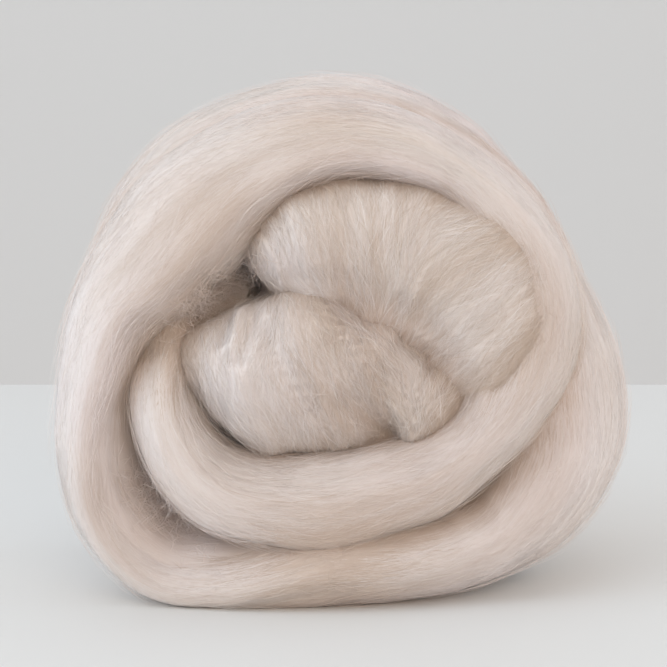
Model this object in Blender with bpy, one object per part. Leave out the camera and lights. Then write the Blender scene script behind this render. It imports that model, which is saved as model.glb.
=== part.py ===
"""A ball of combed wool roving, standing on its edge.

One soft strand of roving is folded into a core and then wound round it, anticlockwise as the front
shows it and from the front to the back, until its end is tucked into the middle of the back.

Frame: metres, +X to the right, +Y away from the front, +Z up. The origin lies on the surface that the
ball stands on, under the middle of the ball.
"""

import math

import bmesh
import bpy
import numpy as np
from mathutils import Quaternion, Vector

MM = 0.001

# ---------------------------------------------------------------- driving sizes
COIL_HEIGHT = 62.4  # millimetres from the surface up to the coil's axis
BALL_MIDDLE = (1.34, -1.02)  # millimetres from the coil's axis to the ball's middle: x, depth
SECTION_POINTS = 24  # points round the strand
STRAND_SPACING = 5.5  # millimetres between the strand's sections
SQUARENESS = 2.3  # exponent of the section's superellipse: 2 is an ellipse
GROOVES = 3  # shallow creases that run along the strand
GROOVE_DEPTH = 0.08  # share of the section's half size
GROOVE_DRIFT = 70.0  # degrees that the creases turn round the strand in one whole turn of the coil
END_RINGS = 3  # sections that round off each end of a strand

# The wound strand, a row for each section. Angles are in degrees, anticlockwise from +X as the front
# shows it. Lengths are in millimetres, and here and below they start at the coil's axis.
#   angle, radius   where the middle of the strand lies round the coil's axis
#   depth           how far to the back it lies
#   thick, wide     half of the strand's size away from the axis, and along the axis
#   lean            degrees that its front edge leans in towards the axis
STRAND_COLUMNS = ("angle", "radius", "depth", "thick", "wide", "lean")
STRAND = (
    (125, 22, 14, 7, 9, 0),
    (155, 34, 0, 9, 11, 0),
    (180, 41, -13, 10, 14, 0),
    (205, 46, -21, 13, 16, 0),
    (230, 45, -25, 14, 18, 0),
    (255, 40, -27, 14, 18, 0),
    (280, 37, -27, 14, 18, 0),
    (305, 38, -26, 13, 18, 0),
    (330, 43, -24, 12, 18, 0),
    (355, 47, -21, 11, 19, 0),
    (380, 51, -19, 10, 20, 0),
    (405, 52, -18, 10, 22, 0),
    (430, 50, -18, 10, 22, 0),
    (455, 48, -19, 11, 22, 0),
    (480, 47, -20, 13, 22, 0),
    (505, 49, -21, 14, 22, 0),
    (530, 53, -22, 13, 22, 0),
    (548, 57, -22, 12, 22, 0),
    (562, 61, -22, 11, 22, 0),
    (576, 65, -22, 11, 22, 0),
    (590, 65, -22, 12, 22, 0),
    (602, 60, -21, 12, 22, 0),
    (615, 55, -21, 12, 22, 0),
    (630, 52, -20, 12, 21, 0),
    (645, 53, -17, 12, 21, 3),
    (658, 57, -9, 12, 23, 9),
    (668, 61, -2, 12, 25, 16),
    (680, 63, 4, 12, 27, 20),
    (694, 61.5, 7, 12, 28, 21),
    (710, 57.5, 10, 12, 28, 19),
    (730, 53, 13, 12, 27, 14),
    (755, 49, 17, 12, 25, 7),
    (780, 51, 19, 12, 23, 0),
    (805, 53, 19, 12, 22, 0),
    (830, 54, 19, 12, 22, 0),
    (855, 56, 19, 12, 22, 0),
    (875, 56, 19, 12, 22, 0),
    (900, 53, 19, 12, 22, 0),
    (930, 52, 19, 12, 22, 0),
    (960, 53, 19, 12, 22, 0),
    (990, 53, 20, 12, 22, 0),
    (1020, 50, 22, 12, 20, 0),
    (1050, 42, 24, 12, 18, 0),
    (1090, 36, 25, 12, 18, 0),
    (1140, 32, 26, 12, 17, 0),
    (1200, 28, 26, 12, 16, 0),
    (1260, 23, 27, 12, 15, 0),
    (1330, 18, 27, 11, 14, 0),
    (1410, 12, 27, 10, 13, 0),
)

# The folds of the core that show inside the coil, a row for each section along a fold's own length.
#   x, height       where the middle of the section lies, the height being above the surface
#   depth           how far to the back it lies
#   thick, wide     half of its size up the front, and towards the back
FOLD_COLUMNS = ("x", "height", "depth", "thick", "wide")
FOLDS = {
    "upper_fold": (
        (-14, 84, -22, 7, 9),
        (-8, 86, -21, 12, 17),
        (1, 86, -20, 15, 20),
        (13, 84, -20, 18, 21),
        (23, 80, -20, 20, 21),
        (31, 74, -19, 21, 20),
        (35, 66, -17, 19, 19),
        (36, 58, -15, 16, 18),
        (34, 51, -13, 13, 15),
        (31, 46, -11, 9, 11),
    ),
    "lower_fold": (
        (-34, 57, -21, 6, 9),
        (-30, 58, -21, 12, 16),
        (-24, 57, -21, 16, 19),
        (-15, 56, -21, 18, 21),
        (-6, 54, -20, 18, 21),
        (2, 52, -19, 15, 20),
        (9, 49, -18, 10, 16),
    ),
    "side_fold": (
        (-6, 69, -20, 6, 13),
        (1, 65, -20, 9, 18),
        (8, 59, -19, 12, 20),
        (15, 52, -19, 12, 20),
        (22, 46, -18, 11, 18),
        (29, 43, -14, 8, 13),
    ),
}

# The windings inside the coil, which only show at the bottom of the hollows between the turns.
CORE_MIDDLE = (5.0, 7.0, 62.4)  # millimetres: x, depth, height
CORE_HALF_SIZE = (55.0, 29.0, 52.0)


def superellipse(turn, drift):
    """The point at this angle on a unit section, creased where drift has brought the grooves."""
    power = 2 / SQUARENESS
    thick, wide = math.cos(turn), math.sin(turn)
    reach = 1 - GROOVE_DEPTH * (0.5 + 0.5 * math.cos(GROOVES * (turn + drift))) ** 3
    return (
        math.copysign(abs(thick) ** power, thick) * reach,
        math.copysign(abs(wide) ** power, wide) * reach,
    )


def smooth_rows(rows, columns):
    """The table's rows joined by a smooth curve: a function from 0..1 to a dict of the columns."""
    table = np.array(rows, float)
    last = len(table) - 1

    def at(share):
        place = min(max(share, 0.0), 1.0) * last
        row = min(int(place), last - 1)
        t = place - row
        before, start, end, after = (table[min(max(row + k, 0), last)] for k in (-1, 0, 1, 2))
        slope_in, slope_out = (end - before) / 2, (after - start) / 2
        values = (
            (2 * t**3 - 3 * t**2 + 1) * start
            + (t**3 - 2 * t**2 + t) * slope_in
            + (3 * t**2 - 2 * t**3) * end
            + (t**3 - t**2) * slope_out
        )
        return dict(zip(columns, values))

    return at


def in_ball_frame(place):
    """A place from the tables, given from the coil's axis, as metres from the ball's origin."""
    return Vector((place[0] - BALL_MIDDLE[0], place[1] - BALL_MIDDLE[1], place[2])) * MM


def middle_of(row):
    """The middle of a section, in metres, from a strand's row or a fold's row."""
    if "angle" in row:
        angle = math.radians(row["angle"])
        x, height = row["radius"] * math.cos(angle), COIL_HEIGHT + row["radius"] * math.sin(angle)
    else:
        x, height = row["x"], row["height"]
    return in_ball_frame((x, row["depth"], height))


def even_shares(at, spacing):
    """Shares of the table at which the sections stand about evenly spaced."""
    fine = np.linspace(0, 1, 2000)
    places = [middle_of(at(share)) for share in fine]
    steps = [(b - a).length for a, b in zip(places, places[1:])]
    along = np.concatenate([[0], np.cumsum(steps)])
    count = max(2, round(along[-1] / (spacing * MM)))
    return np.interp(np.linspace(0, along[-1], count + 1), along, fine)


def section(at, share, shrink=1.0, slide=0.0):
    """The ring of points of the section at this share. shrink and slide round off an end."""
    row = at(share)
    step = 1e-3
    along = (middle_of(at(share + step)) - middle_of(at(share - step))).normalized()
    back = Vector((0, 1, 0))
    wide_way = (back - along * back.dot(along)).normalized()
    lean = Quaternion(along, math.radians(row.get("lean", 0.0)))
    wide_way = lean @ wide_way
    thick_way = along.cross(wide_way)
    drift = math.radians(row.get("angle", 0.0) * GROOVE_DRIFT / 360)
    ring = []
    for k in range(SECTION_POINTS):
        thick, wide = superellipse(2 * math.pi * k / SECTION_POINTS, drift)
        offset = thick_way * (thick * row["thick"]) + wide_way * (wide * row["wide"])
        ring.append(middle_of(row) + along * (slide * MM) + offset * (MM * shrink))
    return ring


def rounded_end(at, share, way):
    """The sections that close an end like a blunt finger, from the tip inwards."""
    row = at(share)
    reach = min(row["thick"], row["wide"])
    rings = []
    for k in range(END_RINGS):
        lift = math.radians(90 * (END_RINGS - k - 0.5) / END_RINGS)
        rings.append(section(at, share, math.cos(lift), way * reach * math.sin(lift)))
    return rings


def sweep(name, rows, columns, spacing):
    """A closed mesh object that follows a table's rows, with rounded ends."""
    at = smooth_rows(rows, columns)
    rings = rounded_end(at, 0.0, -1)
    rings += [section(at, share) for share in even_shares(at, spacing)]
    rings += reversed(rounded_end(at, 1.0, 1))

    mesh = bmesh.new()
    corners = [[mesh.verts.new(point) for point in ring] for ring in rings]
    for ring, following in zip(corners, corners[1:]):
        for k in range(len(ring)):
            after = (k + 1) % len(ring)
            mesh.faces.new((ring[k], ring[after], following[after], following[k]))
    for ring in (corners[0], corners[-1]):
        pole = mesh.verts.new(sum((v.co for v in ring), Vector()) / len(ring))
        for k in range(len(ring)):
            mesh.faces.new((ring[k], ring[(k + 1) % len(ring)], pole))
    bmesh.ops.recalc_face_normals(mesh, faces=mesh.faces)
    data = bpy.data.meshes.new(name)
    mesh.to_mesh(data)
    mesh.free()
    data.shade_smooth()
    return bpy.data.objects.new(name, data)


def inner_windings():
    mesh = bmesh.new()
    bmesh.ops.create_uvsphere(mesh, u_segments=24, v_segments=14, radius=1.0)
    for vert in mesh.verts:
        ways = (vert.co.x, -vert.co.z, vert.co.y)
        vert.co = [way * half * MM for way, half in zip(ways, CORE_HALF_SIZE)]
    data = bpy.data.meshes.new("inner_windings")
    mesh.to_mesh(data)
    mesh.free()
    piece = bpy.data.objects.new("inner_windings", data)
    piece.location = in_ball_frame(CORE_MIDDLE)
    return piece


def outer_skin(obj):
    """Makes the joined shape the object's own mesh, with the air shut in between its windings filled."""
    graph = bpy.context.evaluated_depsgraph_get()
    joined = bpy.data.meshes.new_from_object(obj.evaluated_get(graph))
    mesh = bmesh.new()
    mesh.from_mesh(joined)
    bmesh.ops.triangulate(mesh, faces=mesh.faces)
    left = set(mesh.faces)
    shells = []
    while left:
        shell, reached = [], [left.pop()]
        while reached:
            face = reached.pop()
            shell.append(face)
            for edge in face.edges:
                found = [other for other in edge.link_faces if other in left]
                left.difference_update(found)
                reached += found
        shells.append(shell)
    shells.sort(key=len)
    for shell in shells[:-1]:
        bmesh.ops.delete(mesh, geom=shell, context="FACES")
    mesh.to_mesh(joined)
    mesh.free()
    obj.modifiers.clear()
    obj.data = joined


def surface_cutter():
    bpy.ops.mesh.primitive_cube_add(size=1)
    cutter = bpy.context.active_object
    cutter.name = "surface_cutter"
    cutter.scale = (0.3, 0.3, 0.1)
    bpy.ops.object.transform_apply(scale=True)
    cutter.location = (0, 0, -0.05)
    return cutter


def wool():
    material = bpy.data.materials.new("combed_wool")
    material.use_nodes = True
    shader = material.node_tree.nodes["Principled BSDF"]
    shader.inputs["Base Color"].default_value = (0.63, 0.52, 0.45, 1)
    shader.inputs["Roughness"].default_value = 0.85
    shader.inputs["Metallic"].default_value = 0.0
    return material


def main():
    for leftover in list(bpy.data.objects):
        bpy.data.objects.remove(leftover)
    parts = bpy.data.collections.new("wool_roving")
    helpers = bpy.data.collections.new("shapes_joined_or_cut")
    for collection in (parts, helpers):
        bpy.context.scene.collection.children.link(collection)

    ball = sweep("roving_ball", STRAND, STRAND_COLUMNS, STRAND_SPACING)
    ball.data.materials.append(wool())
    parts.objects.link(ball)

    joined = [sweep(name, rows, FOLD_COLUMNS, 4.5) for name, rows in FOLDS.items()]
    joined.append(inner_windings())
    for piece in joined:
        helpers.objects.link(piece)
        union = ball.modifiers.new("join_" + piece.name, "BOOLEAN")
        union.operation = "UNION"
        union.use_self = True
        union.object = piece
    outer_skin(ball)
    cutter = surface_cutter()
    for collection in list(cutter.users_collection):
        collection.objects.unlink(cutter)
    helpers.objects.link(cutter)
    flat = ball.modifiers.new("flat_spot", "BOOLEAN")
    flat.operation = "DIFFERENCE"
    flat.object = cutter
    for piece in joined + [cutter]:
        piece.hide_render = True
        piece.display_type = "WIRE"


main()
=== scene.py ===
# %% [markdown]
# # A ball of wool roving
#
# Roving is wool that has been washed, combed and drawn out into one long soft rope, ready for
# spinning or felting. Nothing is twisted or knitted yet: the rope only holds together because many
# thousands of fine hairs lie side by side and cling to each other. A seller folds one end into a
# core, winds the rest round it and tucks the end in, which gives the ball built here.
#
# Two things make it look like wool and not like clay. The large forms are soft ropes that press on
# each other and leave warm, shaded creases. And the surface is hair: satin streaks that follow the
# rope, and a haze of loose ends round the outline. So the scene is made in that order. A smooth
# underlayer gives the turns and the folds, and real fibres are then combed over it.

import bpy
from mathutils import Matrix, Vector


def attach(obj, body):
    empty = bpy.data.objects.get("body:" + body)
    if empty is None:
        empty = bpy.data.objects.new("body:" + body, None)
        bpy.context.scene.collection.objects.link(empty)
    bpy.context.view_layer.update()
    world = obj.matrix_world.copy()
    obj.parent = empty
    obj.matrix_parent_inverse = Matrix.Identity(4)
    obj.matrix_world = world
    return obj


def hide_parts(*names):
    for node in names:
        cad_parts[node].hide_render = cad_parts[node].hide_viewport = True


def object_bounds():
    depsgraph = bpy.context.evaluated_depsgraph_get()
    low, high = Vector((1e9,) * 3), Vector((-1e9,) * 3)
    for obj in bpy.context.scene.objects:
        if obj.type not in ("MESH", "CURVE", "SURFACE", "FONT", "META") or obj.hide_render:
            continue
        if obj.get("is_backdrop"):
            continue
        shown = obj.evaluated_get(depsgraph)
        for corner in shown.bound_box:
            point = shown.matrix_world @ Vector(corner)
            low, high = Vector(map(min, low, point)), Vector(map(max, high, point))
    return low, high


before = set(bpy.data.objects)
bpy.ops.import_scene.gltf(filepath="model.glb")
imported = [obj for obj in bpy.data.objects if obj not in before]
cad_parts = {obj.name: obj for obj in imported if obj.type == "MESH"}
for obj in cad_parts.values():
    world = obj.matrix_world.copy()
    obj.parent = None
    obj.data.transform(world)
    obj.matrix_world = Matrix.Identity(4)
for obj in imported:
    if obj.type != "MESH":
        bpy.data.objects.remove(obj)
CAD_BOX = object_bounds()
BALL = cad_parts["roving_ball"]
print("the ball measures, in mm:", [round(1000 * (b - a)) for a, b in zip(*CAD_BOX)])

# %% The modules that the lesson uses
from types import SimpleNamespace

import bmesh
import bpy
import numpy as np
from mathutils import Vector
from mathutils.bvhtree import BVHTree

MM = 0.001
print("Blender", bpy.app.version_string)

# %% [markdown]
# ## The camera
#
# The ball is looked at from a little above, with a long lens from half a metre away. A long lens
# keeps the round shape honest: a wide one would swell the front of the ball. The camera's height
# and direction are worked out from the point it looks at, so only three numbers have to be right.

# %% The camera
LENS = 106.0  # millimetres, on a sensor 36 mm wide
CAMERA_DISTANCE = 0.50
CAMERA_PITCH = 7.5  # degrees that it looks down
LOOKED_AT = Vector((-0.0024, 0.001, 0.0619))

lens = bpy.data.cameras.new("camera")
lens.lens = LENS
lens.sensor_width = 36.0
camera = bpy.data.objects.new("camera", lens)
pitch = np.radians(CAMERA_PITCH)
backwards = Vector((0, -np.cos(pitch), np.sin(pitch)))
camera.location = LOOKED_AT + backwards * CAMERA_DISTANCE
camera.rotation_mode = "QUATERNION"
camera.rotation_quaternion = (-backwards).to_track_quat("-Z", "Y")
bpy.context.scene.collection.objects.link(camera)
bpy.context.scene.camera = camera
print("the camera stands at", [round(value, 3) for value in camera.location])

# %% [markdown]
# ## Colours and nodes
#
# Colours are written as the hex values that a paint program shows. A shader needs them as amounts
# of light, so one function turns each into its linear value. A second one adds a node with its
# settings and its links in one line, which keeps a material as short as a recipe.

# %% Two helpers for materials
def linear(hex_colour):
    """The colour as linear red, green, blue and alpha."""
    shown = np.array([int(hex_colour[k : k + 2], 16) for k in (1, 3, 5)]) / 255
    light = np.where(shown <= 0.04045, shown / 12.92, ((shown + 0.055) / 1.055) ** 2.4)
    return (*light.tolist(), 1.0)


def add_node(tree, kind, **inputs):
    """A new node. An input is a value, or the socket that feeds it; others are the node's settings."""
    node = tree.nodes.new(kind)
    for name, value in inputs.items():
        socket = node.inputs.get(name.replace("_", " "))
        if socket is None:
            setattr(node, name, value)
        elif isinstance(value, bpy.types.NodeSocket):
            tree.links.new(value, socket)
        else:
            socket.default_value = value
    return node


print("a mid grey is", round(linear("#808080")[0], 3))

# %% [markdown]
# ## The table, the wall and the light
#
# The ball stands on a pale painted board in front of a pale grey wall, in soft daylight. The board
# ends behind the ball in a rounded edge, and the wall stands well behind that, so a camera can
# also look at the ball from behind. Most light comes from tall windows at the left. A skylight, a
# window far to the right, a warm lamp in front and the even light of a pale room fill the shade.
# Every panel is large: wool is pale and matt, and small hard lamps would only flatten it.

# %% The board and the wall
BOARD_FRONT, BOARD_BACK, BOARD_HALF_WIDTH = -1.2, 0.355, 1.4
EDGE_RADIUS = 0.05
EDGE_POINTS, EDGE_FOOT = 13, -0.4
WALL_DISTANCE, WALL_HALF_WIDTH, WALL_TOP, WALL_FOOT = 1.6, 3.0, 2.6, -1.2
PAINT_ROUGHNESS = 0.7


def strip(name, profile, half_width, material):
    """A surface as wide as twice half_width, along a profile of (depth, height) points."""
    mesh = bmesh.new()
    edges = [[mesh.verts.new((x, *point)) for point in profile] for x in (-half_width, half_width)]
    for k in range(len(profile) - 1):
        mesh.faces.new((edges[0][k], edges[1][k], edges[1][k + 1], edges[0][k + 1]))
    data = bpy.data.meshes.new(name)
    mesh.to_mesh(data)
    mesh.free()
    data.shade_smooth()
    data.materials.append(material)
    piece = bpy.data.objects.new(name, data)
    bpy.context.scene.collection.objects.link(piece)
    piece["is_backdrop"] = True
    return piece


def matt_paint(name, hex_colour):
    material = bpy.data.materials.new(name)
    material.use_nodes = True
    shader = material.node_tree.nodes["Principled BSDF"]
    shader.inputs["Base Color"].default_value = linear(hex_colour)
    shader.inputs["Roughness"].default_value = PAINT_ROUGHNESS
    return material


bend = np.radians(np.linspace(0, 90, EDGE_POINTS))
rounded_edge = [
    (BOARD_BACK - EDGE_RADIUS * (1 - np.sin(a)), EDGE_RADIUS * (np.cos(a) - 1)) for a in bend
]
board = strip(
    "board",
    [(BOARD_FRONT, 0.0), *rounded_edge, (BOARD_BACK, EDGE_FOOT)],
    BOARD_HALF_WIDTH,
    matt_paint("painted_board", "#e7e6e4"),
)
wall = strip(
    "wall",
    [(WALL_DISTANCE, WALL_FOOT), (WALL_DISTANCE, WALL_TOP)],
    WALL_HALF_WIDTH,
    matt_paint("painted_wall", "#e4e4e3"),
)
print("stage:", board.name, "and", wall.name)

# %% The light
#   place        where the panel hangs, in metres
#   size, power  its side in metres, and watts
#   colour       of its light
DAYLIGHT, LAMPLIGHT = "#d3edff", "#ffe2b8"
PANEL_COLUMNS = ("place", "size", "power", "colour")
PANELS = {
    "window": ((-1.20, -0.30, 0.35), 0.9, 6.1, DAYLIGHT),
    "window_top": ((-0.80, -0.70, 1.05), 1.0, 3.1, DAYLIGHT),
    "skylight": ((-0.10, -0.20, 1.40), 1.0, 2.0, DAYLIGHT),
    "far_window": ((1.15, 0.10, 0.50), 0.8, 3.2, DAYLIGHT),
    "lamp": ((0.35, -1.30, 0.70), 0.8, 3.5, LAMPLIGHT),
}
LIT_POINT = Vector((0.0, 0.0, 0.06))  # the middle of the ball, which every panel faces
ROOM_COLOUR = "#fffaf8"
ROOM_STRENGTH = 0.69

for name, row in PANELS.items():
    panel = SimpleNamespace(**dict(zip(PANEL_COLUMNS, row)))
    light = bpy.data.lights.new(name, "AREA")
    light.size = panel.size
    light.energy = panel.power
    light.color = linear(panel.colour)[:3]
    lamp = bpy.data.objects.new(name, light)
    lamp.location = panel.place
    lamp.rotation_mode = "QUATERNION"
    lamp.rotation_quaternion = (LIT_POINT - Vector(panel.place)).to_track_quat("-Z", "Y")
    bpy.context.scene.collection.objects.link(lamp)

world = bpy.data.worlds.new("room_light")
world.use_nodes = True
room = world.node_tree.nodes["Background"]
room.inputs["Color"].default_value = linear(ROOM_COLOUR)
room.inputs["Strength"].default_value = ROOM_STRENGTH
bpy.context.scene.world = world
bpy.context.scene.view_settings.view_transform = "Standard"
print("lights:", ", ".join(PANELS), "and the room at", ROOM_STRENGTH)

# %% [markdown]
# ## The wool
#
# Roving like this is merino or another fine wool: hairs about 0.02 mm thick, washed and undyed, of
# a pale oatmeal colour. Clean wool is matt with a faint satin, and light passes from hair to hair,
# so that creases turn warm and not black. Both materials are Principled: rough, with a soft
# sheen. The colour of each point comes from two numbers that the meshes carry, its tone and its
# warmth. That way the streaks belong to the wool and look the same from every side.

# %% The wool's two materials
# The dark end is warmer than the pale, as wool looks in shade; the painted shade in creases and
# ruffled wool falls towards it.
WOOL_SHADE, WOOL_PALE = "#cfbdae", "#ebe3df"  # the darkest and the palest hairs
WOOL_ROSY_SHADE, WOOL_ROSY_PALE = "#d2bdb1", "#ebe0df"
WOOL_IOR = 1.55  # keratin
WOOL_SPECULAR = 0.25  # half of the usual amount, since scaly hairs scatter what they reflect
SHEEN, SHEEN_ROUGHNESS, SHEEN_TINT = 0.6, 0.6, "#f7f3f0"
FACTOR, COLOUR_A, COLOUR_B, MIXED = 0, 6, 7, 2  # the sockets of a mix node that blends colours


def wool(name, roughness):
    """A wool material that takes its colour from the mesh's tone and warmth."""
    material = bpy.data.materials.new(name)
    material.use_nodes = True
    tree = material.node_tree
    shader = tree.nodes["Principled BSDF"]
    tone = add_node(tree, "ShaderNodeAttribute", attribute_name="tone").outputs["Fac"]
    warmth = add_node(tree, "ShaderNodeAttribute", attribute_name="warmth").outputs["Fac"]
    mixes = []
    for shade, pale in ((WOOL_SHADE, WOOL_PALE), (WOOL_ROSY_SHADE, WOOL_ROSY_PALE)):
        ramp = add_node(tree, "ShaderNodeValToRGB", Fac=tone)
        ramp.color_ramp.elements[0].color = linear(shade)
        ramp.color_ramp.elements[1].color = linear(pale)
        mixes.append(ramp.outputs["Color"])
    both = add_node(tree, "ShaderNodeMix", data_type="RGBA")
    tree.links.new(warmth, both.inputs[FACTOR])
    tree.links.new(mixes[0], both.inputs[COLOUR_A])
    tree.links.new(mixes[1], both.inputs[COLOUR_B])
    tree.links.new(both.outputs[MIXED], shader.inputs["Base Color"])
    shader.inputs["Roughness"].default_value = roughness
    shader.inputs["IOR"].default_value = WOOL_IOR
    shader.inputs["Specular IOR Level"].default_value = WOOL_SPECULAR
    shader.inputs["Sheen Weight"].default_value = SHEEN
    shader.inputs["Sheen Roughness"].default_value = SHEEN_ROUGHNESS
    shader.inputs["Sheen Tint"].default_value = linear(SHEEN_TINT)
    return material


underlayer = wool("combed_wool_underlayer", 0.9)
hairs = wool("combed_wool_hairs", 0.75)
print("materials:", underlayer.name, hairs.name)

# %% [markdown]
# ## How the strand is wound
#
# The route of the strand is a table, one row for each section, as a drawing of the coil would give
# it. The strand starts in the middle of the front, goes round once as the front turn, swings out
# to the left and passes behind, and ends in the middle of the back. The core's folds are short
# ropes with tables of their own, and so is the web, some thin wool in the hollow beside them. The
# rows began as those of the solid model. Many were then moved by some millimetres, and leaned
# differently, because hairs and creases show the form more sharply than a plain solid does.

# %% The route of the strand
COIL_HEIGHT = 62.4  # millimetres from the surface up to the coil's axis
BALL_MIDDLE = (1.34, -1.02)  # millimetres from the coil's axis to the ball's middle: x, depth

#   angle, radius   where the middle of the strand lies round the coil's axis: degrees, mm
#   depth           how far to the back it lies, mm
#   thick, wide     half of the strand's size away from the axis, and along the axis, mm
#   lean            degrees that its front edge leans out, away from the axis
STRAND_COLUMNS = ("angle", "radius", "depth", "thick", "wide", "lean")
FRONT_TURN_END, OUTER_TURN_END = 555, 880  # the angles where the first two turns end
STRAND = (
    (130, 31, 9, 7, 9, 0),
    (148, 36, 1, 9, 11, 0),
    (163, 39, -7, 9.6, 13, 0),
    (177, 40, -13, 9.6, 14, 0),
    (190, 42, -20, 9, 15, 0),
    (200, 43.8, -25, 9, 16, 0),
    (215, 45, -26.5, 10, 17, 0),
    (230, 44.3, -26.5, 11.6, 18, 0),
    (247, 40.4, -26.5, 12.3, 18, 0),
    (265, 37.8, -27, 13.8, 18, 0),
    (285, 35.8, -27, 12.8, 18, 0),
    (303, 37.2, -26, 12, 18, 0),
    (321, 39.0, -25, 9.6, 18, 0),
    (341, 42.2, -22.5, 8.6, 18, 0),
    (361, 46.5, -19.5, 9.0, 19, 0),
    (382, 50.2, -17, 8.2, 20, 0),
    (405, 50.8, -17, 7.2, 22, 0),
    (430, 50, -17.5, 8.8, 22, 0),
    (455, 49.3, -19, 10.8, 22, 0),
    (480, 47.5, -20, 13.5, 22, 0),
    (500, 47.3, -21, 15.5, 22, 0),
    (515, 49.8, -21, 14.2, 22, 0),
    (530, 54.3, -20, 10.9, 22, 5),
    (548, 57.8, -19, 9.8, 22, 12),
    (562, 61.8, -18, 9.6, 22, 19),
    (576, 66, -17, 9.5, 22, 24),
    (590, 67, -17.5, 9.5, 22, 23),
    (602, 62.5, -19.5, 10, 22, 15),
    (615, 57, -21.5, 11, 22, 5),
    (630, 53, -22.5, 12, 21, 0),
    (645, 54.3, -20.5, 12, 21.5, -3),
    (658, 57.8, -17.5, 12, 22, -7),
    (668, 61, -14.5, 12.5, 23, -11),
    (680, 63.2, -11, 14.3, 24, -14),
    (694, 63.8, -7.5, 14.5, 25.5, -16),
    (710, 60.2, -3.5, 13.3, 26.5, -15),
    (730, 53, 4, 12, 26, -10),
    (755, 49.8, 13, 12, 25, -5),
    (780, 51, 19, 12, 23, 0),
    (805, 53, 19, 12, 22, 0),
    (830, 54, 19, 12, 22, 0),
    (855, 56, 19, 12, 22, 0),
    (875, 56, 19, 12, 22, 0),
    (898, 54, 18.5, 12, 22, 0),
    (918, 55.7, 16.5, 12, 22, 0),
    (942, 57, 14.5, 12, 22, 0),
    (968, 55.5, 17, 12, 22, 0),
    (992, 53, 20, 12, 22, 0),
    (1020, 50, 22, 12, 20, 0),
    (1050, 42, 24, 12, 18, 0),
    (1090, 36, 25, 12, 18, 0),
    (1140, 32, 26, 12, 17, 0),
    (1200, 28, 26, 12, 16, 0),
    (1260, 23, 27, 12, 15, 0),
    (1330, 18, 27, 11, 14, 0),
    (1410, 12, 27, 10, 13, 0),
)
print("the strand goes round", round((STRAND[-1][0] - STRAND[0][0]) / 360, 1), "times")

# %% The folds of the core
#   x, height       where the middle of the section lies, the height being above the surface: mm
#   depth           how far to the back it lies, mm
#   thick, wide     half of its size up the front, and towards the back, mm
FOLD_COLUMNS = ("x", "height", "depth", "thick", "wide")
FOLDS = {
    "upper_fold": (
        (-16.7, 82.8, -26, 9.3, 12),
        (-13, 84.5, -25, 12.8, 16),
        (-7, 86.5, -23.5, 15, 19),
        (2, 87.2, -21.5, 17, 21),
        (13, 84.8, -20, 19.5, 21.5),
        (23, 80.7, -20.5, 20.5, 21),
        (31, 74, -21, 21, 20),
        (35, 66, -20, 19, 19),
        (36, 58, -17, 16, 18),
        (34, 51, -13, 13, 15),
        (31, 46, -11, 9, 11),
    ),
    "lower_fold": (
        (-35, 56.5, -22, 8.5, 9.5),
        (-33, 57, -22.5, 11.3, 13),
        (-29.5, 57, -22.5, 14.3, 16.5),
        (-24.5, 56.8, -22, 17.6, 19.5),
        (-15, 55.5, -21.3, 21.4, 21.4),
        (-6, 53.3, -20.7, 19, 21.4),
        (2, 52.2, -19.7, 16.5, 20.4),
        (9, 50, -18, 11, 16),
    ),
    "side_fold": (
        (-8, 70, -19, 5, 12),
        (-2, 67, -20, 8.5, 17),
        (5, 61, -20, 11, 20),
        (12, 54, -20, 12, 20.5),
        (19, 48.5, -19, 11, 19),
        (26, 45, -16, 8, 15),
    ),
    "web": (
        (-46, 58, -16, 6, 8),
        (-41, 64.5, -16, 9, 9),
        (-35, 70, -15, 10.5, 9.5),
        (-28, 75, -11.5, 8, 8),
        (-22, 77.5, -9, 6, 6),
    ),
}
CORE_MIDDLE = (5.0, 10.0, 62.4)  # the windings inside, in millimetres: x, depth, height
CORE_HALF_SIZE = (55.0, 24.0, 52.0)
print("folds:", ", ".join(FOLDS))

# %% [markdown]
# ## From the table to a surface
#
# A smooth curve goes through the rows, and a soft-cornered oval is set across it at each place.
# Blender's curve objects could sweep an oval too, but they can't change its two widths along the
# way. Here whole arrays of points are worked out at once, so thousands of sections take no time.

# %% Sections along a route
SQUARENESS = 2.3  # exponent of the section's superellipse: 2 is an ellipse
GROOVES = 3  # shallow creases that run along the strand
GROOVE_DEPTH = 0.08  # share of the section's half size
GROOVE_SHARPNESS = 3  # exponent: the higher, the narrower the creases
GROOVE_DRIFT = 70.0  # degrees that the creases turn round the strand in one turn of the coil
FINE_SHARES = 4000  # places at which a route is measured


def between_rows(rows, columns, share):
    """The table's columns at each share of its length, on a smooth curve through its rows."""
    table = np.array(rows, float)
    last = len(table) - 1
    place = np.clip(share, 0, 1) * last
    row = np.minimum(place.astype(int), last - 1)
    t = (place - row)[:, None]
    before, start, end, after = (table[np.clip(row + k, 0, last)] for k in (-1, 0, 1, 2))
    values = (
        (2 * t**3 - 3 * t**2 + 1) * start
        + (t**3 - 2 * t**2 + t) * (end - before) / 2
        + (3 * t**2 - 2 * t**3) * end
        + (t**3 - t**2) * (after - start) / 2
    )
    return dict(zip(columns, values.T))


def middles(row):
    """The middle of each section, in millimetres in the ball's own frame."""
    if "angle" in row:
        angle = np.radians(row["angle"])
        x, height = row["radius"] * np.cos(angle), COIL_HEIGHT + row["radius"] * np.sin(angle)
    else:
        x, height = row["x"], row["height"]
    return np.stack([x - BALL_MIDDLE[0], row["depth"] - BALL_MIDDLE[1], height], axis=-1)


def unit(vectors):
    """The vectors at a length of one."""
    return vectors / np.maximum(np.linalg.norm(vectors, axis=-1, keepdims=True), 1e-9)


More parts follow.
